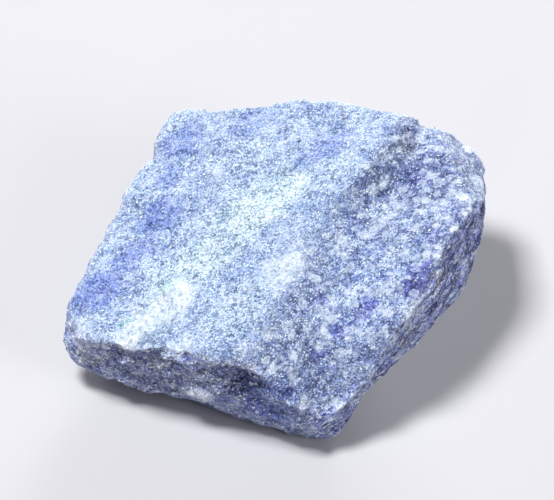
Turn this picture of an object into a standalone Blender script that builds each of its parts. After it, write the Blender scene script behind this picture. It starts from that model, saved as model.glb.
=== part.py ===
"""A rough piece of blue aventurine, as one closed stone.

The stone is two joined lobes, each the hull of its measured corners, with
hollows cut where a face is dished. It is then softened and roughened, and
set down on a small flat foot.
Corners are in millimetres: X to the right, Y away, Z up from the ground.
"""

from math import radians

import bmesh
import bpy
import numpy as np
from mathutils import Matrix, Vector, noise

MM = 0.001

# Corners of the stone, edge by edge
FRONT_RIDGE = (
    (-29.2, -15.6, 8.2),
    (-27.4, -19.8, 11.0),
    (-25.2, -20.9, 11.9),
    (-18.2, -24.0, 13.2),
    (-12.7, -24.9, 14.4),
    (-8.5, -26.1, 15.3),
    (-5.1, -27.4, 15.6),
    (-3.0, -28.7, 15.0),
    (-0.3, -29.9, 13.1),
    (2.1, -30.8, 10.2),
    (3.9, -31.3, 7.8),
    (5.7, -31.5, 5.5),
)
LEFT_RIM = (
    (-28.7, -13.2, 10.5),
    (-28.0, -10.5, 11.3),
    (-26.4, -6.3, 11.8),
    (-24.6, -2.8, 12.3),
    (-22.8, 1.1, 12.7),
    (-21.0, 4.7, 13.2),
    (-19.3, 8.3, 13.7),
    (-17.7, 11.6, 14.2),
    (-16.2, 16.9, 14.9),
    (-15.4, 18.4, 15.3),
)
BACK_RIM = (
    (-14.6, 19.9, 15.7),
    (-13.0, 20.1, 16.2),
    (-9.9, 19.9, 16.9),
    (-4.7, 19.0, 17.9),
    (0.4, 18.9, 19.1),
    (3.3, 18.7, 19.7),
    (7.3, 17.7, 20.5),
    (10.7, 15.6, 21.1),
    (14.0, 13.3, 21.9),
    (16.7, 12.9, 22.4),
    (18.0, 13.4, 21.9),
    (20.0, 13.1, 21.1),
)
CREST = (
    (14.9, 7.6, 22.3),
    (12.4, 3.4, 21.9),
    (8.4, -1.1, 21.0),
    (5.6, -4.3, 20.2),
    (3.2, -9.2, 19.2),
    (1.1, -13.0, 18.6),
    (-1.2, -20.1, 17.4),
    (-2.9, -26.4, 16.0),
)
VALLEY = (
    (21.6, 12.6, 20.1),
    (21.2, 10.6, 19.9),
    (18.0, 4.6, 19.8),
    (15.0, -0.8, 19.5),
    (10.9, -5.2, 18.9),
    (7.6, -10.8, 17.8),
    (7.1, -17.8, 15.9),
    (6.6, -23.5, 12.9),
    (6.2, -27.9, 9.6),
    (5.9, -30.8, 6.4),
)
RIGHT_RIDGE = (
    (9.4, -29.7, 7.5),
    (12.3, -26.8, 11.0),
    (15.1, -23.6, 14.9),
    (17.9, -21.8, 16.9),
    (20.0, -18.9, 18.5),
    (21.5, -15.5, 20.4),
    (24.6, -10.0, 22.2),
    (26.8, -6.0, 22.3),
    (28.6, -2.4, 21.0),
)
RIGHT_WEDGE = (
    (29.3, -1.6, 18.3),
    (29.5, 3.4, 17.6),
    (29.4, 6.4, 17.5),
    (28.7, 9.1, 17.6),
    (28.1, 10.3, 17.9),
    (26.3, 12.0, 18.4),
    (24.5, 12.4, 19.4),
    (22.6, 12.6, 20.3),
)
FRONT_FOOT_EDGE = (
    (-29.4, -17.0, 5.5),
    (-27.4, -18.3, 4.2),
    (-24.6, -19.9, 3.8),
    (-21.9, -20.7, 3.3),
    (-17.7, -22.0, 3.4),
    (-13.5, -22.8, 3.1),
    (-9.1, -24.4, 2.1),
    (-3.8, -26.1, 1.6),
    (1.8, -27.9, 1.2),
    (5.7, -29.2, 0.5),
    (8.4, -28.9, 0.9),
)
RIGHT_FOOT_EDGE = (
    (5.7, -29.2, 0.5),
    (8.4, -28.9, 0.9),
    (10.2, -25.6, 2.9),
    (12.3, -22.7, 5.9),
    (16.1, -20.1, 8.9),
    (19.6, -18.6, 9.8),
    (22.6, -16.1, 11.0),
    (25.4, -13.2, 12.6),
    (27.5, -9.9, 14.6),
    (28.6, -6.5, 16.6),
)
HIDDEN_LEFT_EDGE = (
    (-26.2, -13.0, 4.7),
    (-22.6, -4.0, 4.6),
    (-17.8, 7.0, 4.9),
    (-13.8, 15.6, 5.6),
    (-6.0, 16.6, 5.4),
    (3.0, 15.6, 5.8),
)
HIDDEN_RIGHT_EDGE = (
    (10.5, 13.4, 8.0),
    (18.0, 12.2, 12.3),
)
FOOT = (
    (4.6, -26.6, -0.8),
    (3.2, -12.0, -0.8),
    (1.6, 2.0, -0.8),
    (-1.0, 9.6, -0.8),
    (-8.6, 8.8, -0.8),
    (-13.6, 1.0, -0.8),
    (-12.6, -9.0, -0.8),
    (-4.6, -22.4, -0.8),
)

# The two lobes overlap, and meet above in the valley that runs down to the nose
LOBES = {
    "left lobe": (
        FRONT_RIDGE,
        LEFT_RIM,
        BACK_RIM,
        CREST,
        VALLEY,
        FRONT_FOOT_EDGE,
        HIDDEN_LEFT_EDGE,
        FOOT,
    ),
    "right lobe": (
        RIGHT_RIDGE,
        RIGHT_WEDGE,
        VALLEY,
        RIGHT_FOOT_EDGE,
        HIDDEN_RIGHT_EDGE,
        FOOT,
    ),
}

# Hollows: centre, half sizes along their own axes, turn about Z and pitch in degrees
HOLLOWS = {
    "front scoop": ((-6.8, -31.4, 10.8), (7.6, 5.0, 4.4), -20.0, 0.0),
    "front left scoop": ((-16.2, -26.2, 12.0), (2.8, 2.6, 2.0), -20.0, 0.0),
    "left end chip": ((-21.6, -25.2, 13.9), (3.0, 3.6, 2.4), -20.0, 0.0),
    "left rim nick": ((-18.5, 14.4, 14.6), (1.7, 2.6, 4.6), 0.0, 0.0),
    "right foot scoop": ((15.9, -24.3, 4.4), (3.4, 8.0, 3.4), -42.0, 27.0),
    "back scoop": ((-4.0, 23.4, 10.0), (9.5, 6.0, 5.6), 4.0, 0.0),
    "left side scoop": ((-26.6, 2.0, 8.4), (5.4, 8.0, 3.4), -24.0, 0.0),
}

# How the hull is softened and roughened
VOXEL = 0.45
SOFT_FACTOR = 0.5
SOFT_PASSES = 4
FILL_FACTOR = 0.6
FILL_PASSES = 60
SWELL = 0.15
LUMP_LENGTH, LUMP_HEIGHT = 9.0, 0.55
LUMP_FALL, LUMP_GAIN, LUMP_OCTAVES = 1.0, 2.0, 3
DENT_LENGTH, DENT_HEIGHT, DENT_SHIFT = 3.4, 0.32, Vector((7.0, 3.0, 5.0))
PIT_LENGTH, PIT_HEIGHT, PIT_SHIFT = 1.7, 0.16, Vector((1.0, 9.0, 4.0))
LAYER_ALONG, LAYER_ACROSS, LAYER_HEIGHT = 12.0, 2.0, 0.34
LAYER_ON_TOP = 0.25
LAYER_DIRECTION = Vector((0.64, 0.70, 0.32)).normalized()

GROUND_SIZE = 80.0
MOST_TRIANGLES = 9400
STONE_COLOUR = (0.36, 0.46, 0.72, 1.0)
STONE_ROUGHNESS = 0.6
HOLLOW_SUBDIVISIONS = 4


def clear_scene():
    """Removes every object that the startup scene holds."""
    for thing in list(bpy.data.objects):
        bpy.data.objects.remove(thing, do_unlink=True)


def new_collection(name, hidden):
    """Adds a collection to the scene, for shown pieces or for cutters."""
    collection = bpy.data.collections.new(name)
    collection.hide_render = hidden
    bpy.context.scene.collection.children.link(collection)
    return collection


def new_object(name, mesh, collection):
    """Adds an object that holds this mesh."""
    thing = bpy.data.objects.new(name, mesh)
    collection.objects.link(thing)
    return thing


def stone_material():
    """The stone's own plain finish."""
    material = bpy.data.materials.new("rough aventurine")
    material.use_nodes = True
    shader = material.node_tree.nodes["Principled BSDF"]
    shader.inputs["Base Color"].default_value = STONE_COLOUR
    shader.inputs["Roughness"].default_value = STONE_ROUGHNESS
    material.diffuse_color = STONE_COLOUR
    return material


def hull_mesh(name, edges):
    """The convex hull of these edges' corners, as a mesh in metres."""
    shape = bmesh.new()
    for edge in edges:
        for corner in edge:
            shape.verts.new(Vector(corner) * MM)
    found = bmesh.ops.convex_hull(shape, input=shape.verts)
    inner = [item for item in found["geom_interior"] if isinstance(item, bmesh.types.BMVert)]
    bmesh.ops.delete(shape, geom=inner, context="VERTS")
    bmesh.ops.recalc_face_normals(shape, faces=shape.faces)
    return mesh_of(name, shape)


def ellipsoid_mesh(name, centre, half_sizes, turn, pitch):
    """An ellipsoid that dishes a face where it meets the stone."""
    shape = bmesh.new()
    bmesh.ops.create_icosphere(shape, subdivisions=HOLLOW_SUBDIVISIONS, radius=1.0)
    sized = Matrix.Diagonal((*half_sizes, 1.0))
    pitched = Matrix.Rotation(radians(pitch), 4, "X")
    turned = Matrix.Rotation(radians(turn), 4, "Z")
    placed = Matrix.Translation(Vector(centre))
    whole = Matrix.Scale(MM, 4) @ placed @ turned @ pitched @ sized
    bmesh.ops.transform(shape, matrix=whole, verts=shape.verts)
    return mesh_of(name, shape)


def ground_mesh():
    """A box under the ground, which leaves the stone its flat foot."""
    shape = bmesh.new()
    bmesh.ops.create_cube(shape, size=GROUND_SIZE * MM)
    bmesh.ops.translate(shape, vec=(0.0, 0.0, -GROUND_SIZE * MM / 2), verts=shape.verts)
    return mesh_of("ground", shape)


def mesh_of(name, shape):
    """Writes the bmesh to a new mesh and frees it."""
    mesh = bpy.data.meshes.new(name)
    shape.to_mesh(mesh)
    shape.free()
    return mesh


def helper(name, mesh, collection):
    """Adds an object that only cuts or joins, and isn't rendered."""
    thing = new_object(name, mesh, collection)
    thing.display_type = "WIRE"
    thing.hide_render = True
    return thing


def combine(thing, other, operation):
    """Joins the other object to this one (UNION), or takes it away (DIFFERENCE)."""
    modifier = thing.modifiers.new(other.name, "BOOLEAN")
    modifier.operation = operation
    modifier.solver = "EXACT"
    modifier.object = other


def soften(thing):
    """Turns the cut hull into even faces and rounds its edges."""
    remesh = thing.modifiers.new("even faces", "REMESH")
    remesh.mode = "VOXEL"
    remesh.voxel_size = VOXEL * MM
    smooth = thing.modifiers.new("soft edges", "SMOOTH")
    smooth.factor = SOFT_FACTOR
    smooth.iterations = SOFT_PASSES


def apply_modifiers(thing):
    """Puts the evaluated mesh in the object's place."""
    bpy.context.view_layer.update()
    graph = bpy.context.evaluated_depsgraph_get()
    mesh = bpy.data.meshes.new_from_object(thing.evaluated_get(graph))
    thing.modifiers.clear()
    thing.data = mesh


def fill_creases(thing):
    """Raises the points that lie lower than their neighbours, which rounds inner corners only."""
    mesh = thing.data
    count = len(mesh.vertices)
    places = np.empty(count * 3)
    mesh.vertices.foreach_get("co", places)
    places = places.reshape(count, 3)
    normals = np.empty(count * 3)
    mesh.vertices.foreach_get("normal", normals)
    normals = normals.reshape(count, 3)
    ends = np.empty(len(mesh.edges) * 2, dtype=int)
    mesh.edges.foreach_get("vertices", ends)
    ends = ends.reshape(-1, 2)
    both_ways = np.concatenate([ends, ends[:, ::-1]])
    neighbours = np.bincount(both_ways[:, 0], minlength=count)
    for _ in range(FILL_PASSES):
        total = [
            np.bincount(both_ways[:, 0], places[both_ways[:, 1], axis], minlength=count)
            for axis in range(3)
        ]
        away = np.stack(total, axis=1) / neighbours[:, None] - places
        depth = np.maximum((away * normals).sum(axis=1), 0.0)
        places += FILL_FACTOR * depth[:, None] * normals
    mesh.vertices.foreach_set("co", places.ravel())
    mesh.update()


def relief(point, facing):
    """How far the surface stands out at this point, in millimetres. Layers show on the steep faces."""
    lumps = noise.fractal(point / LUMP_LENGTH, LUMP_FALL, LUMP_GAIN, LUMP_OCTAVES)
    dents = noise.noise(point / DENT_LENGTH + DENT_SHIFT)
    pits = noise.noise(point / PIT_LENGTH + PIT_SHIFT)
    along = LAYER_DIRECTION * point.dot(LAYER_DIRECTION)
    layers = noise.noise((point - along) / LAYER_ACROSS + along / LAYER_ALONG)
    shown = LAYER_ON_TOP + (1.0 - LAYER_ON_TOP) * (1.0 - abs(facing.z))
    rough = LUMP_HEIGHT * lumps + DENT_HEIGHT * dents + PIT_HEIGHT * pits
    return SWELL + rough + shown * LAYER_HEIGHT * layers


def roughen(thing):
    """Moves each point along its normal by the relief there."""
    moves = []
    for vertex in thing.data.vertices:
        point = vertex.co / MM
        moves.append(vertex.co + vertex.normal * relief(point, vertex.normal) * MM)
    for vertex, place in zip(thing.data.vertices, moves):
        vertex.co = place


def thin_out(thing):
    """Keeps the triangle count down, with most of them where the form turns."""
    triangles = sum(len(face.vertices) - 2 for face in thing.data.polygons)
    modifier = thing.modifiers.new("fewer faces", "DECIMATE")
    modifier.ratio = min(1.0, MOST_TRIANGLES / triangles)
    modifier.use_collapse_triangulate = True


def centre_on_foot(thing):
    """Moves the mesh so that the origin is at the middle of the box's bottom."""
    places = [vertex.co for vertex in thing.data.vertices]
    lows = [min(place[axis] for place in places) for axis in range(3)]
    highs = [max(place[axis] for place in places) for axis in range(3)]
    shift = Vector((-(lows[0] + highs[0]) / 2, -(lows[1] + highs[1]) / 2, -lows[2]))
    thing.data.transform(Matrix.Translation(shift))


def main():
    """Builds the stone."""
    clear_scene()
    shown = new_collection("blue aventurine", False)
    helpers = new_collection("cutters and joined lobes", True)
    left, right = (hull_mesh(name, edges) for name, edges in LOBES.items())
    stone = new_object("stone", left, shown)
    combine(stone, helper("right lobe", right, helpers), "UNION")
    for name, (centre, half_sizes, turn, pitch) in HOLLOWS.items():
        hollow = ellipsoid_mesh(name, centre, half_sizes, turn, pitch)
        cutter = helper(name, hollow, helpers)
        combine(stone, cutter, "DIFFERENCE")
    soften(stone)
    apply_modifiers(stone)
    fill_creases(stone)
    roughen(stone)
    combine(stone, helper("ground", ground_mesh(), helpers), "DIFFERENCE")
    apply_modifiers(stone)
    thin_out(stone)
    apply_modifiers(stone)
    centre_on_foot(stone)
    stone.data.materials.clear()
    stone.data.materials.append(stone_material())


main()
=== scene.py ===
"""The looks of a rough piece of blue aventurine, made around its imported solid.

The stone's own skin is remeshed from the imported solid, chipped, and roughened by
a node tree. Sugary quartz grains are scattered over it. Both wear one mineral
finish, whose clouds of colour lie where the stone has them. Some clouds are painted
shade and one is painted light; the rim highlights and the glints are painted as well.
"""

import logging
from collections.abc import Mapping, Sequence
from dataclasses import dataclass
from enum import Enum
from math import cos, pi, radians, sin
from typing import Any

import bmesh
import bpy
import numpy as np
from bpy.types import Material, Mesh, Node, NodeSocket, NodeTree, Object
from mathutils import Matrix, Vector


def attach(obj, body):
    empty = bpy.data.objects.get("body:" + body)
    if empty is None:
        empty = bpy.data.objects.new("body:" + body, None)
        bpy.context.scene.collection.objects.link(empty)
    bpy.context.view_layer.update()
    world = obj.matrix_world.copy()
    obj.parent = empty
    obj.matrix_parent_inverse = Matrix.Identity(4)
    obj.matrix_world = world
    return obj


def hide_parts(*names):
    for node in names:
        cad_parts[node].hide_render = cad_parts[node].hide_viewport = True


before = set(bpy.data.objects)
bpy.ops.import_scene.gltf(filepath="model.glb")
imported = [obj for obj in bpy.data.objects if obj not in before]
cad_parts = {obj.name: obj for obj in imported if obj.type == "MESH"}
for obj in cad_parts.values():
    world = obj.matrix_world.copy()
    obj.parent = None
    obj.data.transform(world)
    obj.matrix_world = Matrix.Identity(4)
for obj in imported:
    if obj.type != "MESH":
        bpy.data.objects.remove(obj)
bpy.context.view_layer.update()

LOG = logging.getLogger("aventurine")
MM = 0.001
STONE_NODE = "stone"
BODY = "root"

# Numbers that the skin's mesh carries for its finish
EDGE = "edge"
COARSE = "coarse"
STEEP = "steep"
SLANT = "slant"
STREAKY = "streaky"
FACES = (COARSE, STEEP, SLANT, STREAKY)

Colour = tuple[float, float, float]
Point = tuple[float, float, float]
Span = tuple[float, float]
Held = Mapping[Any, Any] | None


class Value:
    """An output of a node. Python's operators on it add Math nodes."""

    def __init__(self, sheet: "NodeSheet", socket: NodeSocket) -> None:
        """Wraps one of a sheet's outputs."""
        self.sheet = sheet
        self.socket = socket

    def math(self, operation: str, *numbers: Any) -> "Value":
        """Adds a Math node on values or plain numbers."""
        sockets = dict(enumerate(numbers))
        return self.sheet.value("ShaderNodeMath", {"operation": operation}, sockets)

    def __add__(self, other: Any) -> "Value":
        """This plus another."""
        return self.math("ADD", self, other)

    def __radd__(self, other: Any) -> "Value":
        """Another plus this."""
        return self.math("ADD", other, self)

    def __sub__(self, other: Any) -> "Value":
        """This minus another."""
        return self.math("SUBTRACT", self, other)

    def __rsub__(self, other: Any) -> "Value":
        """Another minus this."""
        return self.math("SUBTRACT", other, self)

    def __mul__(self, other: Any) -> "Value":
        """This times another."""
        return self.math("MULTIPLY", self, other)

    def __rmul__(self, other: Any) -> "Value":
        """Another times this."""
        return self.math("MULTIPLY", other, self)

    def __rtruediv__(self, other: Any) -> "Value":
        """Another over this."""
        return self.math("DIVIDE", other, self)

    def __pow__(self, other: Any) -> "Value":
        """This to a power."""
        return self.math("POWER", self, other)

    def larger(self, other: Any) -> "Value":
        """The larger of this and another."""
        return self.math("MAXIMUM", self, other)

    def smaller(self, other: Any) -> "Value":
        """The smaller of this and another."""
        return self.math("MINIMUM", self, other)

    def rise(self, low: float, high: float) -> "Value":
        """A smooth step from 0 at low to 1 at high, whichever is the greater."""
        sockets = {"Value": self, "From Min": low, "From Max": high}
        return self.sheet.value("ShaderNodeMapRange", {"interpolation_type": "SMOOTHSTEP"}, sockets)


class NodeSheet:
    """A node tree that is filled in by code, for a material or for geometry."""

    def __init__(self, tree: NodeTree) -> None:
        """Takes the tree to fill in."""
        self.tree = tree

    def node(self, kind: str, settings: Held = None, sockets: Held = None) -> Node:
        """Adds one node.

        Args:
            kind: the node's type.
            settings: its own settings, which are set first.
            sockets: what each input holds, by name or number: a plain value, a link or a Value.

        Returns:
            The node.
        """
        made = self.tree.nodes.new(kind)
        for name, setting in (settings or {}).items():
            setattr(made, name, setting)
        for key, held in (sockets or {}).items():
            self.feed(made.inputs[key], held)
        return made

    def feed(self, socket: NodeSocket, held: Any) -> None:
        """Links or sets one input.

        Args:
            socket: the input.
            held: the plain value, link or Value that it holds.
        """
        if isinstance(held, Value):
            held = held.socket
        if isinstance(held, NodeSocket):
            self.tree.links.new(held, socket)
        else:
            socket.default_value = held

    def value(self, kind: str, settings: Held = None, sockets: Held = None, output: Any = 0) -> Value:
        """Adds a node and wraps one of its outputs."""
        return Value(self, self.node(kind, settings, sockets).outputs[output])

    def vector(self, operation: str, *held: Any) -> NodeSocket:
        """Adds a Vector Math node and gives its vector."""
        sockets = dict(enumerate(held))
        return self.node("ShaderNodeVectorMath", {"operation": operation}, sockets).outputs[0]

    def scaled(self, held: Any, factor: Any) -> NodeSocket:
        """A vector times a number."""
        sockets = {0: held, "Scale": factor}
        return self.node("ShaderNodeVectorMath", {"operation": "SCALE"}, sockets).outputs[0]

    def length(self, held: Any) -> Value:
        """The length of a vector."""
        return self.value("ShaderNodeVectorMath", {"operation": "LENGTH"}, {0: held}, "Value")

    def dot(self, first: Any, second: Any) -> Value:
        """The dot product of two vectors."""
        sockets = {0: first, 1: second}
        return self.value("ShaderNodeVectorMath", {"operation": "DOT_PRODUCT"}, sockets, "Value")

    def attribute(self, name: str) -> Value:
        """A number that the mesh carries."""
        return self.value("ShaderNodeAttribute", {"attribute_name": name}, None, "Fac")

    def noise(
        self, place: Any, length: Any, detail: float = 2.0, rough: float = 0.5, output: int = 0
    ) -> Value:
        """Noise whose blotches have a length, with finer layers and how strong those are."""
        sockets = {"Vector": place, "Scale": 1.0 / length, "Detail": detail, "Roughness": rough}
        return self.value("ShaderNodeTexNoise", None, sockets, output)

    def wobble(self, place: Any, length: float, detail: float, rough: float = 0.5) -> Any:
        """A random push that varies with the place, by up to a half each way."""
        return self.vector("SUBTRACT", self.noise(place, length, detail, rough, 1), (0.5,) * 3)

    def cells(self, place: Any, size: Any) -> Node:
        """Random cells, with the distance between them."""
        return self.node("ShaderNodeTexVoronoi", None, {"Vector": place, "Scale": 1.0 / size})


class Stain(Enum):
    """What each stain takes out of red, green and blue light.

    GREY_AND_PAINTED_SHADE is partly grey and partly painted shade. LIGHT is painted light, which gives
    light back; PALE gives light back too, and TAN gives back a little red. CLEAR takes
    nothing: it marks where the others are missing.
    """

    BLUE = (1.0, 0.74, 0.24)
    COBALT = (1.0, 0.9, 0.26)
    GREY_AND_PAINTED_SHADE = (1.0, 1.0, 1.0)
    # Painted light: it gives light back where a pool of light is painted.
    LIGHT = (-1.0, -1.0, -1.0)
    VIOLET = (1.0, 1.12, 0.3)
    INK = (1.0, 1.02, 0.55)
    SLATE = (1.0, 0.86, 0.58)
    TEAL = (1.0, 0.05, 0.85)
    TAN = (-0.2, 0.1, 0.7)
    PALE = (-1.0, -1.0, -0.28)
    CLEAR = (0.0, 0.0, 0.0)


@dataclass(frozen=True)
class Cloud:
    """A soft-edged cloud of one stain, in millimetres.

    Its half sizes run along the grain, across it and through its layers.
    """

    centre: Point
    half: Point
    strength: float


CLOUDS: dict[Stain, tuple[Cloud, ...]] = {
    Stain.BLUE: (
        Cloud((22.5, 6.5, 21.2), (7.0, 5.0, 3.0), 0.45),
        Cloud((-1.0, -23.6, 8.0), (7.0, 4.0, 5.0), 0.72),
        Cloud((26.0, -3.5, 17.5), (8.0, 10.0, 5.0), 0.1),
    ),
    Stain.COBALT: (
        Cloud((-13.3, 19.6, 16.5), (4.5, 3.0, 3.0), 0.54),
        Cloud((-15.5, 12.9, 15.7), (3.0, 2.0, 3.0), 0.47),
        Cloud((-16.5, 5.9, 14.8), (4.0, 3.0, 3.0), 0.61),
        Cloud((-20.0, -0.7, 13.9), (4.5, 2.6, 3.0), 0.68),
        Cloud((-25.1, -7.0, 12.8), (5.0, 3.6, 3.5), 0.74),
        Cloud((-3.6, 21.0, 18.8), (3.6, 3.0, 3.0), 0.34),
        Cloud((7.0, 13.7, 20.8), (5.4, 2.6, 3.0), 0.54),
        Cloud((13.3, 15.2, 22.1), (3.2, 2.0, 2.5), 0.27),
        Cloud((21.5, 8.5, 21.2), (7.5, 4.5, 3.0), 0.2),
    ),
    # Painted shade on the front face and the right face; the clouds on the top right and on the strip
    # beside the crest are partly grey and partly painted shade.
    Stain.GREY_AND_PAINTED_SHADE: (
        Cloud((-18.0, -18.0, 8.0), (10.0, 5.0, 6.0), 0.46),
        Cloud((-6.5, -22.0, 11.0), (8.0, 4.0, 4.5), 0.55),
        Cloud((25.0, -5.5, 16.5), (7.0, 9.0, 4.0), 0.16),
        Cloud((22.5, 6.5, 21.2), (7.5, 5.5, 3.0), 0.45),
        Cloud((18.2, 12.9, 21.5), (4.2, 1.9, 2.2), 0.27),
        Cloud((14.2, 6.4, 21.0), (5.0, 1.9, 2.2), 0.27),
    ),
    # A painted pool of light on the lower part of the slope right of the crest.
    Stain.LIGHT: (
        Cloud((10.5, -13.0, 17.2), (9.0, 6.0, 4.0), 0.28),
    ),
    Stain.VIOLET: (
        Cloud((26.0, -3.5, 17.5), (8.0, 10.0, 5.0), 0.18),
        Cloud((20.1, 7.1, 21.1), (1.6, 1.2, 1.5), 0.9),
        Cloud((23.4, 13.7, 21.2), (1.0, 0.8, 1.5), 0.5),
        Cloud((21.8, -4.8, 21.8), (1.8, 1.1, 1.5), 0.7),
        Cloud((19.2, -11.7, 19.6), (3.8, 1.6, 2.2), 0.9),
        Cloud((12.2, -14.3, 16.5), (1.6, 1.2, 1.5), 0.7),
        Cloud((9.2, -16.6, 14.8), (1.8, 1.0, 1.5), 0.7),
        Cloud((6.1, -19.3, 12.8), (1.2, 0.9, 1.5), 0.5),
        Cloud((5.7, -12.1, 16.8), (1.3, 0.9, 1.5), 0.5),
    ),
    Stain.INK: (
        Cloud((-4.2, -22.4, 9.0), (3.6, 2.6, 2.2), 0.45),
        Cloud((-1.2, -23.4, 6.4), (3.4, 2.4, 1.8), 0.3),
        Cloud((1.9, -25.1, 10.9), (1.5, 1.4, 0.9), 0.6),
        Cloud((-22.3, -16.4, 8.9), (3.2, 1.6, 1.6), 0.5),
        Cloud((-17.4, -18.0, 6.4), (3.4, 2.0, 1.4), 0.35),
        Cloud((0.9, -23.6, 12.9), (1.8, 1.0, 0.8), 0.35),
    ),
    Stain.SLATE: (
        Cloud((-18.7, -17.6, 12.6), (1.9, 1.4, 1.2), 0.6),
        Cloud((-6.2, -22.0, 14.0), (4.0, 2.6, 1.4), 0.3),
    ),
    Stain.TEAL: (
        Cloud((-21.1, -13.0, 13.2), (1.6, 0.8, 1.5), 0.25),
        Cloud((-15.3, -8.4, 15.3), (2.0, 0.8, 1.5), 0.2),
    ),
    Stain.TAN: (
        Cloud((18.8, 14.2, 21.4), (2.6, 1.8, 2.0), 0.2),
        Cloud((22.9, -9.5, 18.5), (3.5, 1.2, 1.2), 0.4),
        Cloud((18.3, -15.6, 12.4), (2.5, 1.0, 1.0), 0.5),
        Cloud((-26.1, -14.6, 6.9), (3.5, 2.5, 2.0), 0.4),
        Cloud((-3.5, -22.7, 12.3), (1.2, 1.0, 0.8), 0.7),
        Cloud((-15.8, -18.2, 9.6), (2.4, 1.4, 1.0), 0.4),
    ),
    Stain.PALE: (
        Cloud((-17.0, -13.0, 14.3), (7.0, 3.6, 3.0), 0.26),
        Cloud((-5.0, -14.5, 16.4), (6.0, 4.5, 3.0), 0.2),
        Cloud((-10.5, -4.3, 15.8), (9.5, 4.4, 3.5), 0.42),
        Cloud((-1.9, 5.1, 18.8), (9.5, 4.6, 3.5), 0.5),
        Cloud((6.3, 8.5, 20.7), (5.5, 3.4, 3.0), 0.18),
        Cloud((-3.0, 14.8, 19.0), (4.0, 2.4, 3.0), 0.16),
    ),
    Stain.CLEAR: (
        Cloud((-14.6, -11.2, 14.9), (5.8, 2.8, 2.5), 0.7),
        Cloud((-19.0, -15.0, 13.6), (5.2, 2.4, 2.5), 0.7),
        Cloud((-12.6, -19.0, 14.6), (1.8, 1.6, 1.2), 0.5),
        Cloud((1.3, -8.2, 18.6), (4.2, 3.2, 2.4), 0.6),
        Cloud((14.2, -0.2, 19.7), (1.6, 1.3, 1.5), 0.5),
        Cloud((18.0, 2.2, 20.4), (1.4, 1.1, 1.5), 0.5),
        Cloud((19.0, -7.8, 20.4), (1.0, 0.9, 1.2), 0.6),
        Cloud((9.4, -8.1, 18.1), (1.8, 1.3, 1.5), 0.5),
        Cloud((13.3, -11.8, 17.9), (1.6, 1.2, 1.5), 0.5),
        Cloud((6.3, -14.0, 16.0), (1.1, 0.9, 1.2), 0.5),
        Cloud((28.4, 7.5, 20.0), (1.5, 1.6, 2.0), 0.5),
        Cloud((2.6, -24.2, 12.6), (1.2, 0.8, 0.7), 0.6),
        Cloud((4.6, -25.0, 9.2), (1.4, 1.0, 1.4), 0.6),
        Cloud((-27.4, -13.8, 10.0), (2.4, 2.6, 2.4), 0.5),
        Cloud((-10.7, -20.6, 5.6), (3.4, 3.0, 2.2), 0.7),
    ),
}


def grain_turn() -> Matrix:
    """The turn from the part's frame to the grain's: along it, across it, through its layers."""
    along = Vector((0.75, 0.60, 0.28)).normalized()
    through = Vector((-0.22, -0.04, 0.97))
    through = (through - along * through.dot(along)).normalized()
    across = through.cross(along)
    return Matrix((along, across, through))


@dataclass(frozen=True)
class Strength:
    """How strong a pattern is: its plain strength, and what each kind of face adds.

    A slanting face leans to the right of the crest, away from the key lamp, and the
    shade it takes is painted; a streaky one is steep too.
    """

    plain: float = 0.0
    coarse: float = 0.0
    steep: float = 0.0
    slant: float = 0.0
    streaky: float = 0.0

    def on(self, stone: "StoneNodes") -> Value:
        """Adds up the strength.

        Args:
            stone: the finish's nodes, which know the kinds of face.

        Returns:
            The strength at each point.
        """
        total = self.plain
        for kind in FACES:
            share = getattr(self, kind)
            if share:
                total = total + share * stone.faces[kind]
        return total


@dataclass(frozen=True)
class Blotch:
    """Noise that is cut off into blotches.

    The noise is low at a blotch's edge and high where it is full. The pattern is
    drawn out, and moved so that no two are alike. Its length is in millimetres.
    """

    length: float
    low: float
    high: float
    strength: Strength
    shift: Point = (0.0, 0.0, 0.0)
    drawn: Point = (1.0, 1.0, 1.0)

    def on(self, stone: "StoneNodes") -> Value:
        """How strong the blotches are at each point, from 0 to the strength."""
        moved = stone.vector("MULTIPLY_ADD", stone.turned, self.drawn, self.shift)
        return stone.noise(moved, self.length, 3.0, 0.6).rise(self.low, self.high) * self.strength.on(stone)


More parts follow.
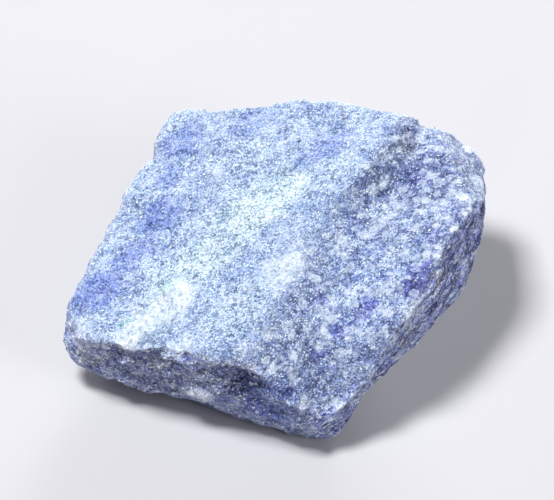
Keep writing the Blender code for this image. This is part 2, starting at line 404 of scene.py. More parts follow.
@dataclass(frozen=True)
class StainPattern:
    """How the stains lie in the quartz, besides their clouds. Sizes are in millimetres.

    The body is the mottled blue under everything. Milk is the white in it.
    """

    body: Strength = Strength(0.97, steep=-0.30)
    body_mottle: Strength = Strength(1.30, steep=-0.70)
    body_mottle_length: float = 3.0
    body_deep: Blotch = Blotch(
        2.4, 0.44, 0.56, Strength(0.05, coarse=0.20), (13.0, 5.0, 2.0), (0.75, 1.0, 2.0)
    )
    clot: Strength = Strength(0.30, coarse=0.38, steep=-0.30)
    clot_size: float = 1.75
    clot_drawn: Point = (0.9, 1.0, 1.2)
    clot_wobble: float = 1.9
    milk: Blotch = Blotch(1.7, 0.53, 0.64, Strength(coarse=0.55), (9.0, 3.0, 21.0))
    thread: Blotch = Blotch(0.42, 0.54, 0.68, Strength(0.30, steep=-0.20), drawn=(0.42, 1.1, 1.1))
    speck: Blotch = Blotch(0.9, 0.52, 0.64, Strength(0.15, coarse=0.30), (31.0, 17.0, 9.0))
    gloom: Blotch = Blotch(2.6, 0.46, 0.66, Strength(coarse=0.27, steep=0.38), (5.0, 27.0, 11.0))
    blue: Strength = Strength(streaky=0.12)
    blue_of_grain: float = 0.35
    violet: Strength = Strength(0.01, coarse=0.03, steep=0.30, streaky=0.12)
    violet_of_body: Strength = Strength(coarse=0.20)
    # Grey, more on the coarse side; on steep faces and on faces that slant right of the crest, turned from
    # the key lamp, it is painted shade.
    grey_and_painted_shade: Strength = Strength(0.13, coarse=0.20, steep=0.09, slant=0.25)
    grey_of_body: float = 0.65
    grey_of_grain: float = 0.85
    # The streaks' grooves are darkened as painted shade of their ridges.
    streak: Strength = Strength(streaky=1.7)
    streak_middle: float = 0.46
    streak_drawn: Point = (0.10, 0.30, 1.0)
    streak_length: float = 0.6
    cloud_wobble: Point = (5.0, 5.0, 3.0)
    cloud_wobble_length: float = 2.2
    cloud_edge: Span = (1.2, 0.6)
    cloud_thin: float = 0.45
    cloud_thick: Blotch = Blotch(0.7, 0.34, 0.56, Strength(0.55), (3.0, 1.0, 8.0))
    clearest: float = 0.9
    least: Point = (0.06, 0.03, 0.0)
    # Thin edges are painted lighter as a painted rim highlight; hollows are made darker.
    painted_rim_edge: Span = (0.05, 0.26)
    dark_hollow: Span = (-0.04, -0.22)
    hollow_darkening: float = 0.25


@dataclass(frozen=True)
class GrainPattern:
    """The sugary grain of the quartz, in flecks and finer crumbs. Sizes are in millimetres."""

    fleck: float = 0.38
    crumb: float = 0.15
    drawn: Point = (0.7, 1.0, 1.1)
    wobble: float = 0.8
    shown: Strength = Strength(1.15, coarse=0.33, steep=0.80)
    shown_in_body: float = 1.4
    hidden: float = 0.30
    hidden_in_milk: float = 0.85
    mottle: float = 0.80
    mottle_drawn: Point = (0.75, 1.0, 1.1)
    mottle_contrast: Strength = Strength(1.0, steep=-0.85)
    fleck_contrast: float = 0.7
    crumb_contrast: Strength = Strength(1.6, steep=0.48)
    lightest: float = -0.9
    darkest: float = 0.75
    tone_contrast: float = 0.6
    # Glinting grains are glossier and are painted lighter as painted glints; sparks do the same, mostly on
    # the steep faces.
    glint_share: float = 0.08
    gloss_and_painted_glint: Strength = Strength(0.35, coarse=0.65)
    spark_share: float = 0.07
    gloss_and_painted_spark: Strength = Strength(0.1, steep=0.8)
    fleck_tilt: float = 1.3
    crumb_tilt: float = 2.2
    streak_height: float = 0.45


@dataclass(frozen=True)
class AventurineFinish:
    """The stone's one mineral finish, for its skin or for the loose grains on it.

    The quartz is white, and the stains in it take out light. Their strengths are
    added up before they are turned to a colour, so that every change runs from
    deep blue to milky white.
    """

    name: str
    lift: float = 0.0
    gloss: float = 0.46
    haze: float = 0.20
    glint_gloss: float = 0.28
    bend: float = 1.54
    quartz: Colour = (0.94, 0.99, 1.00)
    pattern: StainPattern = StainPattern()
    grain: GrainPattern = GrainPattern()
    tone_attribute: str = ""

    def material(self) -> Material:
        """Builds the material.

        Returns:
            The material, whose nodes read object coordinates in millimetres.
        """
        made = bpy.data.materials.new(self.name)
        made.use_nodes = True
        made.node_tree.nodes.clear()
        StoneNodes(made.node_tree, self).fill()
        return made


class StoneNodes(NodeSheet):
    """The nodes of one aventurine finish.

    They know the place in millimetres, the same place turned to run along, across
    and through the layers, and the kinds of face.
    """

    def __init__(self, tree: NodeTree, finish: AventurineFinish) -> None:
        """Finds what the finish needs to know of each point.

        Args:
            tree: the material's empty tree.
            finish: the finish.
        """
        super().__init__(tree)
        self.finish = finish
        self.pattern = finish.pattern
        self.grain = finish.grain
        coordinates = self.node("ShaderNodeTexCoord").outputs["Object"]
        self.place = self.vector("MULTIPLY", coordinates, (1.0 / MM,) * 3)
        sockets = {"Vector": self.place, "Rotation": grain_turn().to_euler()}
        self.turned = self.node("ShaderNodeMapping", None, sockets).outputs[0]
        self.faces = {kind: self.attribute(kind) for kind in FACES}

    def fill(self) -> None:
        """Makes the shader and everything that feeds it."""
        finish = self.finish
        streak = self.streaks()
        flecks = self.laid_out(self.grain.fleck)
        crumbs = self.laid_out(self.grain.crumb)
        stains = self.clouded()
        body = self.body()
        calm = stains[Stain.CLEAR].larger(self.clots().larger(self.pattern.milk.on(self)))
        grain, gloss_and_painted_glint = self.grained(flecks[0], crumbs[0], body, calm)
        self.spread(stains, body, grain, streak)
        # CLEAR here also paints the glinting grains lighter as painted glints, and paints the highlight on
        # thin rims.
        stains[Stain.CLEAR] = calm + gloss_and_painted_glint + self.painted_rim_and_dark_hollow()
        rough = finish.gloss + finish.haze * self.noise(self.place, 1.0) - finish.glint_gloss * gloss_and_painted_glint
        sockets = {
            "Base Color": self.soaked(stains),
            "Roughness": rough,
            "Normal": self.faceted(flecks, crumbs, streak),
            "IOR": finish.bend,
        }
        shader = self.node("ShaderNodeBsdfPrincipled", None, sockets)
        self.node("ShaderNodeOutputMaterial", None, {"Surface": shader.outputs[0]})

    def spread(self, stains: dict[Stain, Value], body: Value, grain: Value, streak: Value) -> None:
        """Adds the stains that lie all through the stone to those of the clouds.

        Args:
            stains: the strength of each stain, which is added to.
            body: how blue the stone is.
            grain: how much darker the grain is.
            streak: the long streaks, from 0 to 1.
        """
        pattern = self.pattern
        deeper = body - pattern.body.plain
        grey_and_painted_shade = pattern.grey_of_body * deeper + pattern.grey_of_grain * grain
        # Painted shade in the streaks' grooves, below their middle.
        grey_and_painted_shade = grey_and_painted_shade + (pattern.streak_middle - streak) * pattern.streak.on(self)
        added = {
            Stain.BLUE: body + pattern.blue.on(self) + pattern.blue_of_grain * grain,
            Stain.VIOLET: pattern.violet.on(self) + pattern.violet_of_body.on(self) * deeper,
            Stain.SLATE: pattern.thread.on(self) + pattern.speck.on(self),
            Stain.INK: pattern.gloom.on(self),
            Stain.GREY_AND_PAINTED_SHADE: pattern.grey_and_painted_shade.on(self) + grey_and_painted_shade,
        }
        for stain, strength in added.items():
            stains[stain] = stains[stain] + strength

    def soaked(self, stains: Mapping[Stain, Value]) -> NodeSocket:
        """Works out the colour that the quartz has with all its stains.

        Args:
            stains: the strength of each stain.

        Returns:
            The colour.
        """
        total = (0.0, 0.0, 0.0)
        for stain, strength in stains.items():
            total = self.vector("MULTIPLY_ADD", strength, stain.value, total)
        total = self.vector("MULTIPLY", total, 1.0 - stains[Stain.CLEAR].smaller(self.pattern.clearest))
        total = self.vector("MAXIMUM", total, self.pattern.least)
        split = self.node("ShaderNodeSeparateXYZ", None, {0: total})
        channels = {}
        for number, white in enumerate(self.finish.quartz):
            taken = Value(self, split.outputs[number]) * -1.0
            channels[number] = white * taken.math("EXPONENT", taken)
        return self.node("ShaderNodeCombineColor", None, channels).outputs[0]

    def body(self) -> Value:
        """Works out the mottled blue under everything, drawn out along the layers.

        Returns:
            How blue the stone is, around 1.
        """
        pattern = self.pattern
        drawn = self.vector("MULTIPLY", self.turned, pattern.body_deep.drawn)
        mottle = self.noise(drawn, pattern.body_mottle_length, 5.0, 0.6)
        whole = pattern.body.on(self) + (0.5 - mottle) * pattern.body_mottle.on(self)
        return whole + pattern.body_deep.on(self)

    def streaks(self) -> Value:
        """Long streaks along the layers, from 0 to 1."""
        drawn = self.vector("MULTIPLY", self.turned, self.pattern.streak_drawn)
        return self.noise(drawn, self.pattern.streak_length, 4.0, 0.65).rise(0.35, 0.65)

    def clots(self) -> Value:
        """Works out the roundish milky clots, with ragged rims.

        Returns:
            How milky they are.
        """
        pattern = self.pattern
        place = self.vector("MULTIPLY", self.turned, pattern.clot_drawn)
        wobble = self.wobble(place, 0.9, 3.0, 0.6)
        bent = self.vector("MULTIPLY_ADD", wobble, (pattern.clot_wobble,) * 3, place)
        cells = self.cells(bent, pattern.clot_size)
        chance, size = self.two_chances(cells)
        reach = Value(self, cells.outputs["Distance"]) - 0.25 * size
        return reach.rise(0.42, 0.12) * chance.rise(0.05, 0.55) * pattern.clot.on(self)

    def clouded(self) -> dict[Stain, Value]:
        """Lays the clouds, with ragged edges.

        Returns:
            The strength of each stain.
        """
        pattern = self.pattern
        wobble = self.wobble(self.turned, pattern.cloud_wobble_length, 4.0, 0.65)
        ragged = self.vector("MULTIPLY_ADD", wobble, pattern.cloud_wobble, self.turned)
        share = pattern.cloud_thin + pattern.cloud_thick.on(self)
        return {stain: self.mask(ragged, CLOUDS[stain]) * share for stain in Stain}

    def mask(self, ragged: Any, clouds: Sequence[Cloud]) -> Value:
        """Works out where the clouds of one stain are.

        Args:
            ragged: the turned place, with a wobble.
            clouds: the clouds.

        Returns:
            A value from 0 to the clouds' strength.
        """
        whole = 0.0
        for cloud in clouds:
            centre = grain_turn() @ Vector(cloud.centre)
            narrow = [1.0 / half for half in cloud.half]
            shift = [-middle * scale for middle, scale in zip(centre, narrow)]
            inside = self.length(self.vector("MULTIPLY_ADD", ragged, narrow, shift))
            whole = (inside.rise(*self.pattern.cloud_edge) * cloud.strength).larger(whole)
        return whole

    def painted_rim_and_dark_hollow(self) -> Value:
        """Works out the painted rim highlight, which makes thin edges clearer, and how much darker the
        hollows are.

        Returns:
            How much lighter it is painted there, below 0 in a darker hollow.
        """
        edge = self.attribute(EDGE)
        patchy = self.noise(self.place, 1.6, 3.0).rise(0.30, 0.55)
        clearer = edge.rise(*self.pattern.painted_rim_edge) * (0.10 + 0.30 * patchy)
        return clearer - edge.rise(*self.pattern.dark_hollow) * self.pattern.hollow_darkening

    def laid_out(self, size: float) -> tuple[Node, NodeSocket]:
        """Lays out the grains of one size.

        Args:
            size: how far apart the grains are, in millimetres.

        Returns:
            The cells, and the bent point that they are laid out on.
        """
        wobble = self.wobble(self.turned, size, 1.0)
        drawn = self.vector("MULTIPLY", self.turned, self.grain.drawn)
        bent = self.vector("MULTIPLY_ADD", wobble, (size * self.grain.wobble,) * 3, drawn)
        return self.cells(bent, size), bent

    def grained(self, flecks: Node, crumbs: Node, body: Value, calm: Value) -> tuple[Value, Value]:
        """Gives each grain of quartz its own tone, which shows more in the blue than in the milk.

        Args:
            flecks: the larger grains.
            crumbs: the fine grains.
            body: how blue the stone is.
            calm: where it is milky.

        Returns:
            How much darker the grain is, and where the clear, glinting grains are, which
            are glossier and painted lighter as glints.
        """
        grain = self.grain
        chance, tone = self.two_chances(crumbs)
        fleck_chance, fleck_tone = self.two_chances(flecks)
        drawn = self.vector("MULTIPLY", self.turned, grain.mottle_drawn)
        mottle = self.noise(drawn, grain.mottle, 4.0, 0.8)
        shown = grain.shown.on(self) * (body * grain.shown_in_body - grain.hidden)
        shown = shown * (1.0 - grain.hidden_in_milk * calm)
        darker = (0.5 - mottle) * grain.mottle_contrast.on(self)
        darker = darker + (1.0 - 2.0 * tone) ** 3 * grain.crumb_contrast.on(self)
        darker = (darker + (0.5 - fleck_tone) * grain.fleck_contrast) * shown
        darker = darker.larger(grain.lightest).smaller(grain.darkest) - self.finish.lift
        if self.finish.tone_attribute:
            darker = darker + grain.tone_contrast * (0.5 - self.attribute(self.finish.tone_attribute))
        gloss_and_painted_glint = chance.rise(1.0 - grain.glint_share, 1.0 - grain.glint_share * 0.7)
        gloss_and_painted_spark = fleck_chance.rise(1.0 - grain.spark_share, 1.0 - grain.spark_share * 0.6)
        return darker, gloss_and_painted_glint * grain.gloss_and_painted_glint.on(self) + gloss_and_painted_spark * grain.gloss_and_painted_spark.on(self)

    def two_chances(self, cells: Node) -> tuple[Value, Value]:
        """Two random numbers for each cell."""
        split = self.node("ShaderNodeSeparateColor", None, {0: cells.outputs["Color"]})
        return Value(self, split.outputs[0]), Value(self, split.outputs[1])

    def faceted(self, flecks: Any, crumbs: Any, streak: Value) -> NodeSocket:
        """Makes each grain a small tilted facet and each streak a small ridge.

        Args:
            flecks: the larger grains, as cells and the bent point.
            crumbs: the fine grains, likewise.
            streak: the long streaks, from 0 to 1.

        Returns:
            The normal.
        """
        height = self.tilted(flecks, self.grain.fleck_tilt)
        height = height + self.tilted(crumbs, self.grain.crumb_tilt)
        height = height + streak * self.faces[STREAKY] * self.grain.streak_height
        sockets = {"Height": height, "Strength": 1.0, "Distance": MM}
        return self.node("ShaderNodeBump", None, sockets).outputs[0]

    def tilted(self, grains: tuple[Node, Any], tilt: float) -> Value:
        """Slopes the surface its own way on each grain.

        Args:
            grains: their cells and the bent point.
            tilt: how steep they are.

        Returns:
            The height in millimetres.
        """
        cells, bent = grains
        slope = self.vector("SUBTRACT", cells.outputs["Color"], (0.5,) * 3)
        offset = self.vector("SUBTRACT", bent, cells.outputs["Position"])
        return tilt * self.dot(slope, offset)


@dataclass(frozen=True)
class Chip:
    """A small bump or dent: its place, its reach and its push, in millimetres."""

    centre: Point
    half: Point
    push: Point


CHIPS = (
    Chip((-5.4, -23.2, 11.2), (5.6, 3.0, 3.4), (0.1, 0.9, 0.0)),
    Chip((-1.6, -24.0, 7.4), (4.4, 3.0, 3.0), (0.1, 0.5, 0.0)),
    Chip((-10.9, -21.0, 6.2), (3.6, 3.0, 3.0), (-0.2, -0.8, 0.0)),
    Chip((1.9, -25.4, 10.7), (2.0, 2.0, 1.5), (-0.2, 0.7, 0.0)),
    Chip((1.8, -24.4, 12.6), (2.4, 1.6, 1.1), (-0.5, -0.5, 0.1)),
    Chip((4.4, -25.4, 8.6), (1.8, 1.8, 1.8), (-0.3, -0.4, 0.1)),
    Chip((-15.6, -18.9, 12.3), (4.6, 2.4, 1.5), (-0.2, -0.5, 0.0)),
    Chip((-21.6, -15.8, 5.2), (3.2, 2.6, 1.6), (-0.1, -0.5, -0.4)),
    Chip((15.6, 5.4, 20.4), (7.0, 3.0, 3.0), (0.2, -0.1, -0.5)),
)


@dataclass
class StoneSkin:
    """The stone's outside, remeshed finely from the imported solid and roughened.

    Sizes are in millimetres. A span is where something fades in, from none to all.
    """

    voxel: float = 0.30
    soft_passes: int = 4
    crisp_reach: int = 28
    crisp_share: float = 1.2
    soft_edge: Point = (27.0, 0.0, 19.8)
    soft_edge_end: Span = (4.0, 12.0)
    soft_share: float = 1.9
    lump_length: float = 2.6
    lump_height: float = 0.20
    grain_length: float = 0.70
    grain_height: float = 0.13
    layer_length: float = 1.0
    layer_height: float = 0.42
    layer_drawn: Point = (0.08, 0.22, 1.0)
    layer_lean: Span = (0.45, 0.95)
    layer_right: Span = (-0.2, 0.4)
    layer_left_share: float = 0.35
    pit_length: float = 1.7
    pit_height: float = 0.20
    pit_edge: Span = (0.45, 0.1)
    smooth_share: float = 0.35
    swell: float = -0.10
    right_of_crest: Point = (0.886, -0.464, 0.0)
    crest_place: float = 7.1
    crest_start: Point = (17.6, 14.0, 0.0)
    crest_end: Point = (6.6, 0.2, 0.0)
    crest_end_fade: Span = (0.0, 0.3)
    crest_top: Span = (15.0, 17.0)
    crest_reach: float = 1.8
    crest_rise: float = 0.45
    coarse_side: Span = (-1.5, 2.5)
    steep_lean: Span = (0.3, 0.8)
    slant_lean: Span = (0.02, 0.22)
    streaky_lean: Span = (0.3, 0.7)
    streaky_least: float = 0.25
    chips: tuple[Chip, ...] = CHIPS

    def build(self, finish: Material) -> Object:
        """Makes the skin.

        Args:
            finish: the material that it wears.

        Returns:
            The skin, as one mesh object at the origin.
        """
        skin = self.fine_copy()
        self.chip(skin)
        self.sharpen(skin)
        sizes = {"Swell": self.swell}
        for kind in ("lump", "grain", "layer", "pit"):
            for measure in ("length", "height"):
                sizes[f"{kind} {measure}".title()] = getattr(self, f"{kind}_{measure}")
        run_tree(skin, self.relief_tree(sizes), {**sizes, "Finish": finish})
        return skin

    def fine_copy(self) -> Object:
        """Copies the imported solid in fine, even faces, with its facets smoothed away.

        Returns:
            The copy, at the origin.
        """
        shape = bmesh.new()
        shape.from_mesh(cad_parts[STONE_NODE].data)
        bmesh.ops.remove_doubles(shape, verts=shape.verts, dist=MM / 1000)
        skin = new_piece("aventurine", shape)
        remesh = skin.modifiers.new("even faces", "REMESH")
        remesh.mode = "VOXEL"
        remesh.voxel_size = self.voxel * MM
        smooth = skin.modifiers.new("no facets", "SMOOTH")
        smooth.factor = 0.5
        smooth.iterations = self.soft_passes
        apply_modifiers(skin)
        return skin

    def chip(self, skin: Object) -> None:
        """Pushes the surface in or out at each chip, and raises the crest.

        Args:
            skin: the skin, whose points are moved.
        """
        places = read_rows(skin.data.vertices, "co") / MM
        for chip in self.chips:
            reach = np.linalg.norm((places - chip.centre) / chip.half, axis=1)
            places += smooth_step(1.0 - reach, 0.0, 1.0)[:, None] * np.array(chip.push)
        places[:, 2] += self.crest_rise * self.near_crest(places)
        write_places(skin.data, places * MM)

    def near_crest(self, places: np.ndarray) -> np.ndarray:
        """Finds how near each point is to the crest.

        Args:
            places: the points.

        Returns:
            From 0 to 1, which is on the crest. It is 0 below the top.
        """
        start, end = np.array(self.crest_start), np.array(self.crest_end)
        level = places * (1.0, 1.0, 0.0)
        run = end - start
        share = np.clip((level - start) @ run / (run @ run), 0.0, 1.0)
        far = np.linalg.norm(level - start - share[:, None] * run, axis=1)
        fade = smooth_step(1.0 - share, *self.crest_end_fade) * smooth_step(places[:, 2], *self.crest_top)
        return np.clip(1.0 - far / self.crest_reach, 0.0, 1.0) ** 1.5 * fade

    def sharpen(self, skin: Object) -> None:
        """Makes the edges crisper, and marks the skin for its finish.

        Each point moves away from where smoothing would put it. How far it stands
        out from there is kept as the edge attribute.

        Args:
            skin: the skin, whose points are moved.
        """
        places = read_rows(skin.data.vertices, "co")
        soft = self.smoothed(skin.data, places)
        write_places(skin.data, soft)
        facing = read_rows(skin.data.vertices, "normal")
        far = np.linalg.norm(places / MM - np.array(self.soft_edge), axis=1)
        share = self.crisp_share - self.soft_share * (1.0 - smooth_step(far, *self.soft_edge_end))
        write_places(skin.data, places + share[:, None] * (places - soft))
        side = places @ np.array(self.right_of_crest) / MM - self.crest_place
        right = facing @ np.array(self.right_of_crest)
        steep = smooth_step(1.0 - facing[:, 2], *self.steep_lean)
        cut = smooth_step(right, *self.streaky_lean)
        marks = {
            EDGE: ((places - soft) * facing).sum(axis=1) / MM,
            COARSE: np.maximum(smooth_step(side, *self.coarse_side), steep),
            STEEP: steep,
            # The slant mark serves only the painted shade on faces turned from the key lamp.
            SLANT: smooth_step(right, *self.slant_lean) * (1.0 - steep),
            STREAKY: steep * (self.streaky_least + (1.0 - self.streaky_least) * cut),
        }
        for name, numbers in marks.items():
            skin.data.attributes.new(name, "FLOAT", "POINT").data.foreach_set("value", numbers)

    def smoothed(self, mesh: Mesh, places: np.ndarray) -> np.ndarray:
        """Finds where each point would be after smoothing.

        Args:
            mesh: the mesh, which stays as it is.
            places: where its points are.

        Returns:
            Where they would be.
        """
        ends = np.empty(len(mesh.edges) * 2, np.int64)
        mesh.edges.foreach_get("vertices", ends)
        count = np.bincount(ends, minlength=len(places))[:, None]
        first, second = ends.reshape(-1, 2).T
        soft = places.copy()
        for _ in range(self.crisp_reach):
            total = np.empty_like(soft)
            for axis in range(3):
                total[:, axis] = np.bincount(first, soft[second, axis], len(soft))
                total[:, axis] += np.bincount(second, soft[first, axis], len(soft))
            soft += 0.5 * (total / count - soft)
        return soft

    def relief_tree(self, sizes: Mapping[str, float]) -> NodeTree:
        """Builds the rule of the broken surface: lumps, grains, pits, and layers where it is steep.

        Args:
            sizes: what its inputs will hold.

        Returns:
            The tree.
        """
        sheet, given = new_geometry_tree("broken surface", sizes)
        position = sheet.node("GeometryNodeInputPosition").outputs[0]
        place = sheet.vector("MULTIPLY", position, (1.0 / MM,) * 3)
        normal = sheet.node("GeometryNodeInputNormal").outputs[0]
        coarse = sheet.value("GeometryNodeInputNamedAttribute", None, {"Name": COARSE})
        lumps = bumps(sheet.noise(place, given["Lump Length"], 3.0), given["Lump Height"])
        grains = bumps(sheet.noise(place, given["Grain Length"]), given["Grain Height"])
        cells = Value(sheet, sheet.cells(place, given["Pit Length"]).outputs["Distance"])
        pits = given["Pit Height"] * cells.rise(*self.pit_edge)
        height = given["Swell"] + self.layers(sheet, place, normal, given) + grains
        height = height + (lumps - pits) * (self.smooth_share + (1.0 - self.smooth_share) * coarse)
        sockets = {"Geometry": given["Geometry"], "Offset": sheet.scaled(normal, height * MM)}
        moved = sheet.node("GeometryNodeSetPosition", None, sockets).outputs[0]
        above_ground = sheet.vector("MAXIMUM", position, (-1.0, -1.0, 0.0))
        sockets = {"Geometry": moved, "Position": above_ground}
        lifted = sheet.node("GeometryNodeSetPosition", None, sockets).outputs[0]
        finish_tree(sheet, lifted, given["Finish"])
        return sheet.tree

    def layers(self, sheet: NodeSheet, place: Any, normal: Any, given: Mapping[str, Value]) -> Value:
        """Raises thin ledges along the layers, on the steep faces only and mostly on the right.

        Args:
            sheet: the tree's nodes.
            place: the point.
            normal: the way that the face looks.
            given: the tree's inputs.

        Returns:
            The height of the ledges.
        """
        turn = grain_turn()
        squeezed = [sheet.dot(place, tuple(row)) * share for row, share in zip(turn, self.layer_drawn)]
        joined = sheet.node("ShaderNodeCombineXYZ", None, dict(enumerate(squeezed))).outputs[0]
        level = sheet.dot(normal, tuple(turn[2]))
        steep = 1.0 - level.math("ABSOLUTE", level).rise(*self.layer_lean)
        right = sheet.dot(normal, (1.0, 0.0, 0.0)).rise(*self.layer_right)
        share = steep * (self.layer_left_share + (1.0 - self.layer_left_share) * right)
        return bumps(sheet.noise(joined, given["Layer Length"], 3.0), given["Layer Height"]) * share


@dataclass
class SugarGrains:
    """Loose-looking quartz grains that stand out of the skin.

    Sizes are in millimetres, and the densest is in grains per square metre.
    """

    spacing: float = 0.40
    smallest: float = 0.18
    largest: float = 0.42
    flattest: float = 0.6
    sunk: float = 0.12
    clear_of_ground: float = 0.5
    densest: float = 3.0e6
    seed: int = 7
    tone_attribute: str = "grain_tone"

    def build(self, skin: Object, finish: Material) -> Object:
        """Scatters the grains.

        Args:
            skin: what they stand on.
            finish: the material that they wear.

        Returns:
            The grains, as one mesh object at the origin.
        """
        grains = new_object("sugar_grains", skin.data.copy())
        sizes = {
            "Spacing": self.spacing * MM,
            "Smallest": self.smallest * MM,
            "Largest": self.largest * MM,
            "Sunk": self.sunk * MM,
            "Clear Of Ground": self.clear_of_ground * MM,
            "Seed": self.seed,
        }
        run_tree(grains, self.scatter_tree(sizes), {**sizes, "Finish": finish})
        return grains

    def scatter_tree(self, sizes: Mapping[str, float]) -> NodeTree:
        """Builds the rule of the grains: blocky crystals turned at random, half sunk in the skin.

        Args:
            sizes: what its inputs will hold.

        Returns:
            The tree.
        """
        sheet, given = new_geometry_tree("sugar grains", sizes)
        position = sheet.node("GeometryNodeInputPosition").outputs[0]
        height = sheet.value("ShaderNodeSeparateXYZ", None, {0: position}, 2)
        above = sheet.node(
            "FunctionNodeCompare",
            {"data_type": "FLOAT", "operation": "GREATER_THAN"},
            {0: height, 1: given["Clear Of Ground"]},
        )
        spread = sheet.node(
            "GeometryNodeDistributePointsOnFaces",
            {"distribute_method": "POISSON"},
            {
                "Mesh": given["Geometry"],
                "Selection": above.outputs[0],
                "Distance Min": given["Spacing"],
                "Density Max": self.densest,
                "Seed": given["Seed"],
            },
        )
        inward = sheet.scaled(spread.outputs["Normal"], given["Sunk"] * -1.0)
        sockets = {"Geometry": spread.outputs[0], "Offset": inward}
        sunk = sheet.node("GeometryNodeSetPosition", None, sockets)
        crystal = sheet.node("GeometryNodeMeshCube", None, {"Size": (1.0, 1.0, 1.0)})
        seed = given["Seed"]
        turn = self.random(sheet, "FLOAT_VECTOR", (0.0,) * 3, (2 * pi,) * 3, seed + 0.0)
        stretch = self.random(sheet, "FLOAT_VECTOR", (self.flattest,) * 3, (1.0,) * 3, seed + 1.0)
        size = self.random(sheet, "FLOAT", given["Smallest"], given["Largest"], seed + 2.0)
        placed = sheet.node(
            "GeometryNodeInstanceOnPoints",
            None,
            {
                "Points": sunk.outputs[0],
                "Instance": crystal.outputs[0],
                "Rotation": turn,
                "Scale": sheet.scaled(stretch, size),
            },
        )
        tone = self.random(sheet, "FLOAT", 0.0, 1.0, seed + 3.0)
        toned = sheet.node(
            "GeometryNodeStoreNamedAttribute",
            {"data_type": "FLOAT", "domain": "INSTANCE"},
            {"Geometry": placed.outputs[0], "Name": self.tone_attribute, "Value": tone},
        )
        finish_tree(sheet, toned.outputs[0], given["Finish"])
        return sheet.tree

    def random(self, sheet: NodeSheet, kind: str, low: Any, high: Any, seed: Value) -> NodeSocket:
        """Draws a random number or vector for each grain.

        Args:
            sheet: the tree's nodes.
            kind: the Random Value node's data type.
            low: the least that it can be.
            high: the most that it can be.
            seed: a seed that no other draw has.

        Returns:
            The draw.
        """
        found = sheet.node("FunctionNodeRandomValue", {"data_type": kind}, {"Seed": seed})
        least, most = [socket for socket in found.inputs if socket.enabled][:2]
        sheet.feed(least, low)
        sheet.feed(most, high)
        return next(socket for socket in found.outputs if socket.enabled)


def bumps(noise: Value, height: Value) -> Value:
    """Makes noise a relief that goes as far up as down."""
    return (noise - 0.5) * 2.0 * height


def new_object(name: str, data: Any) -> Object:
    """Puts a mesh, a light or a camera in the scene.

    Args:
        name: what the object is called.
        data: what it shows.

    Returns:
        The object, at the origin.
    """
    made = bpy.data.objects.new(name, data)
    bpy.context.scene.collection.objects.link(made)
    return made


def new_piece(name: str, shape: bmesh.types.BMesh) -> Object:
    """Makes a shape an object.

    Args:
        name: what the object is called.
        shape: its shape, which is freed.

    Returns:
        The object, at the origin.
    """
    mesh = bpy.data.meshes.new(name)
    shape.to_mesh(mesh)
    shape.free()
    return new_object(name, mesh)


def read_rows(points: Any, kind: str) -> np.ndarray:
    """Reads a mesh's places or normals.

    Args:
        points: the mesh's vertices.
        kind: what is read of each.

    Returns:
        One row for each point.
    """
    rows = np.empty(len(points) * 3)
    points.foreach_get(kind, rows)
    return rows.reshape(-1, 3)


def write_places(mesh: Mesh, places: np.ndarray) -> None:
    """Moves a mesh's points."""
    mesh.vertices.foreach_set("co", places.ravel())
    mesh.update()


def smooth_step(numbers: np.ndarray, low: float, high: float) -> np.ndarray:
    """0 below low, 1 above high, and smooth between them."""
    share = np.clip((numbers - low) / (high - low), 0.0, 1.0)
    return share * share * (3.0 - 2.0 * share)


def new_geometry_tree(name: str, sizes: Mapping[str, float]) -> tuple[NodeSheet, dict[str, Value]]:
    """Starts a geometry tree with its named inputs.

    Args:
        name: what the tree is called.
        sizes: what its number inputs will hold, by name.

    Returns:
        The tree's nodes, and its inputs by name.
    """
    sheet = NodeSheet(bpy.data.node_groups.new(name, "GeometryNodeTree"))
    panel = sheet.tree.interface
    for side in ("OUTPUT", "INPUT"):
        panel.new_socket("Geometry", in_out=side, socket_type="NodeSocketGeometry")
    for number, size in sizes.items():
        kind = "NodeSocketInt" if isinstance(size, int) else "NodeSocketFloat"
        panel.new_socket(number, in_out="INPUT", socket_type=kind)
    panel.new_socket("Finish", in_out="INPUT", socket_type="NodeSocketMaterial")
    start = sheet.node("NodeGroupInput")
    return sheet, {socket.name: Value(sheet, socket) for socket in start.outputs}


def finish_tree(sheet: NodeSheet, geometry: Any, finish: Any) -> None:
    """Ends a geometry tree, with its instances made real and its material set.

    Args:
        sheet: the tree's nodes.
        geometry: what it has made.
        finish: the material.
    """
    real = sheet.node("GeometryNodeRealizeInstances", None, {"Geometry": geometry})
    sockets = {"Geometry": real.outputs[0], "Material": finish}
    dressed = sheet.node("GeometryNodeSetMaterial", None, sockets)
    sheet.node("NodeGroupOutput", None, {0: dressed.outputs[0]})


def run_tree(piece: Object, tree: NodeTree, held: Mapping[str, Any]) -> None:
    """Runs a geometry tree on a piece and keeps the result as its mesh.

    Args:
        piece: the object, whose mesh is what the tree starts from.
        tree: the tree.
        held: what each of its named inputs holds.
    """
    piece.data.materials.clear()
    modifier = piece.modifiers.new(tree.name, "NODES")
    modifier.node_group = tree
    for item in tree.interface.items_tree:
        if item.in_out == "INPUT" and item.name in held:
            modifier[item.identifier] = held[item.name]
    apply_modifiers(piece)


def apply_modifiers(piece: Object) -> None:
    """Turns a piece's evaluated shape into its plain mesh.

    Args:
        piece: the object, which loses its modifiers.
    """
    bpy.context.view_layer.update()
    graph = bpy.context.evaluated_depsgraph_get()
    mesh = bpy.data.meshes.new_from_object(piece.evaluated_get(graph))
    piece.modifiers.clear()
    piece.data = mesh


@dataclass(frozen=True)
class Lamp:
    """A soft square light that faces the stone, with its side in metres and its power in watts."""

    name: str
    place: Point
    size: float
    power: float


LAMPS = (
    Lamp("key", (-0.26, 0.0, 0.76), 0.20, 10.2),
    Lamp("back_rim", (0.14, 0.64, 0.14), 0.24, 5.2),
    Lamp("front_spark", (-0.12, -0.64, 0.20), 0.08, 0.55),
    Lamp("right_fill", (0.62, -0.40, 0.34), 0.40, 3.6),
)


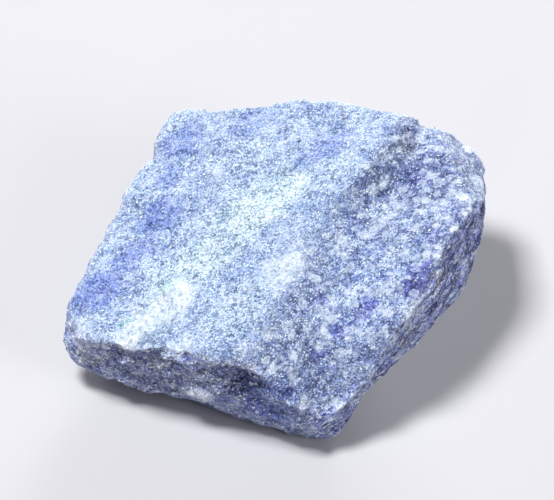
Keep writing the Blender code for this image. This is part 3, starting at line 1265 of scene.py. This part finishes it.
@dataclass
class Studio:
    """A plain pale floor, soft light and the camera. Lengths are in metres."""

    elevation: float = radians(45.0)
    distance: float = 0.742
    lens: float = 340.0
    sensor: float = 36.0
    nearest: float = 0.01
    aim: Point = (0.0002, 0.0059, 0.008)
    floor_size: float = 3.0
    floor_colour: Colour = (0.40, 0.40, 0.42)
    floor_roughness: float = 0.7
    sky_colour: Colour = (0.84, 0.78, 1.0)
    sky_strength: float = 0.09
    lamps: tuple[Lamp, ...] = LAMPS

    def build(self) -> None:
        """Makes the floor, the sky, the lamps and the camera."""
        self.floor()
        self.sky()
        for lamp in self.lamps:
            self.hang(lamp)
        self.camera()
        bpy.context.scene.view_settings.view_transform = "Standard"

    def floor(self) -> None:
        """Lays a large plain floor."""
        shape = bmesh.new()
        bmesh.ops.create_grid(shape, x_segments=1, y_segments=1, size=self.floor_size / 2)
        floor = new_piece("floor", shape)
        made = bpy.data.materials.new("pale floor")
        made.use_nodes = True
        shader = made.node_tree.nodes["Principled BSDF"]
        shader.inputs["Base Color"].default_value = (*self.floor_colour, 1.0)
        shader.inputs["Roughness"].default_value = self.floor_roughness
        floor.data.materials.append(made)

    def sky(self) -> None:
        """Sets a dim even light from all round."""
        world = bpy.data.worlds.new("studio")
        world.use_nodes = True
        background = world.node_tree.nodes["Background"]
        background.inputs["Color"].default_value = (*self.sky_colour, 1.0)
        background.inputs["Strength"].default_value = self.sky_strength
        bpy.context.scene.world = world

    def hang(self, lamp: Lamp) -> None:
        """Adds one lamp.

        Args:
            lamp: its place, size and power.
        """
        light = bpy.data.lights.new(lamp.name, "AREA")
        light.size = lamp.size
        light.energy = lamp.power
        hung = new_object(lamp.name, light)
        hung.location = lamp.place
        hung.rotation_euler = (Vector(self.aim) - hung.location).to_track_quat("-Z", "Y").to_euler()

    def camera(self) -> None:
        """Sets the camera in front of the stone and above it."""
        lens = bpy.data.cameras.new("camera")
        lens.lens = self.lens
        lens.sensor_width = self.sensor
        lens.clip_start = self.nearest
        camera = new_object("camera", lens)
        away = Vector((0.0, -cos(self.elevation), sin(self.elevation))) * self.distance
        camera.location = Vector(self.aim) + away
        camera.rotation_euler = (pi / 2 - self.elevation, 0.0, 0.0)
        bpy.context.scene.camera = camera


def declare(piece: Object) -> None:
    """Ties a piece to the stone's body, hides the imported solid, and reports the piece.

    Args:
        piece: the piece.
    """
    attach(piece, BODY)
    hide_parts(STONE_NODE)
    triangles = sum(len(polygon.vertices) - 2 for polygon in piece.data.polygons)
    LOG.info("%s: %d triangles", piece.name, triangles)


def main() -> None:
    """Builds the stone and its studio."""
    logging.basicConfig(level=logging.INFO, format="%(name)s: %(message)s")
    grains = SugarGrains()
    skin_finish = AventurineFinish("aventurine").material()
    grain_finish = AventurineFinish(
        "sugary quartz", lift=0.18, gloss=0.30, tone_attribute=grains.tone_attribute
    ).material()
    skin = StoneSkin().build(skin_finish)
    declare(skin)
    declare(grains.build(skin, grain_finish))
    Studio().build()


if __name__ == "__main__":
    main()
